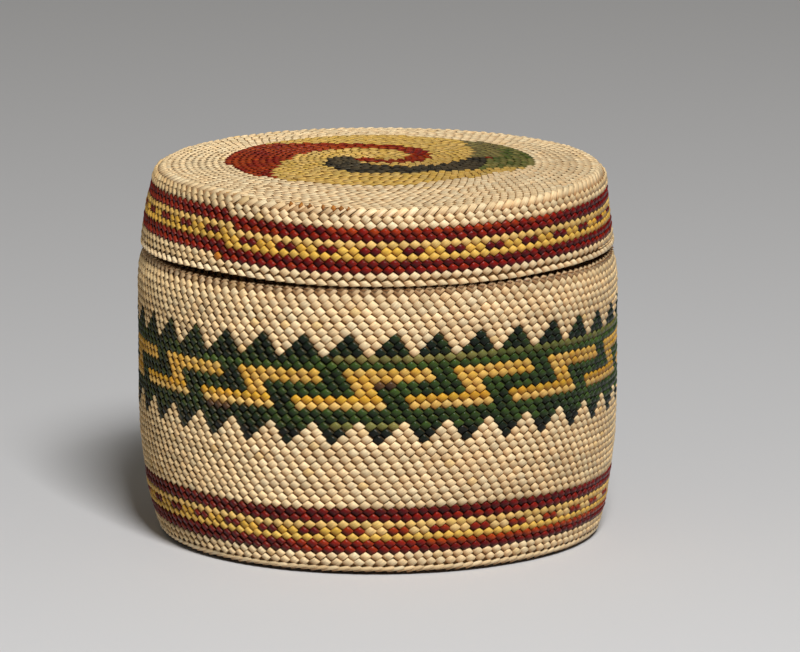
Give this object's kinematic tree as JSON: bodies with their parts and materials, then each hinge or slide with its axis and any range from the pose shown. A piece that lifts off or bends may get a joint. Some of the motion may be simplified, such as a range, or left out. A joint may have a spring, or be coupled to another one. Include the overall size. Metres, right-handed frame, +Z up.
{
  "type": "lidded basket",
  "caption": "Round twined trinket basket with a flush lift-off lid, barrel-shaped wall, inner collar, patterned bands and a whirl on the lid.",
  "frame": {"origin": "middle of the base, on the surface that the basket stands on", "axes": "+Z up along the basket's own axis, -Y towards the side that the picture shows, +X to its right"},
  "size_m": [0.088, 0.088, 0.0695],
  "materials": {
    "natural_grass": "satin",
    "red_grass": "satin",
    "green_grass": "satin",
    "yellow_grass": "satin",
    "cedar_bark": "matt"
  },
  "bodies": {
    "body": {"base_start": "cedar_bark", "base_rounds": "cedar_bark", "heel_course": "natural_grass", "lower_natural_band": "natural_grass", "body_border_band": "red_grass", "middle_natural_band": "natural_grass", "zigzag_band": "green_grass", "upper_natural_band": "natural_grass", "shoulder_course": "natural_grass", "collar": "cedar_bark", "collar_binding": "natural_grass", "body_warps": "cedar_bark"},
    "lid": {"lid_start": "yellow_grass", "lid_whirl_rounds": "yellow_grass", "lid_natural_rounds": "natural_grass", "lid_corner_course": "natural_grass", "lid_upper_band": "natural_grass", "lid_border_band": "red_grass", "lid_lower_band": "natural_grass", "lid_selvage": "natural_grass", "lid_warps": "cedar_bark"}
  },
  "joints": [
    {"name": "lid_lift", "type": "slide", "parent": "body", "child": "lid", "axis": [0, 0, 1], "range_m": [0, 0.022]}
  ]
}
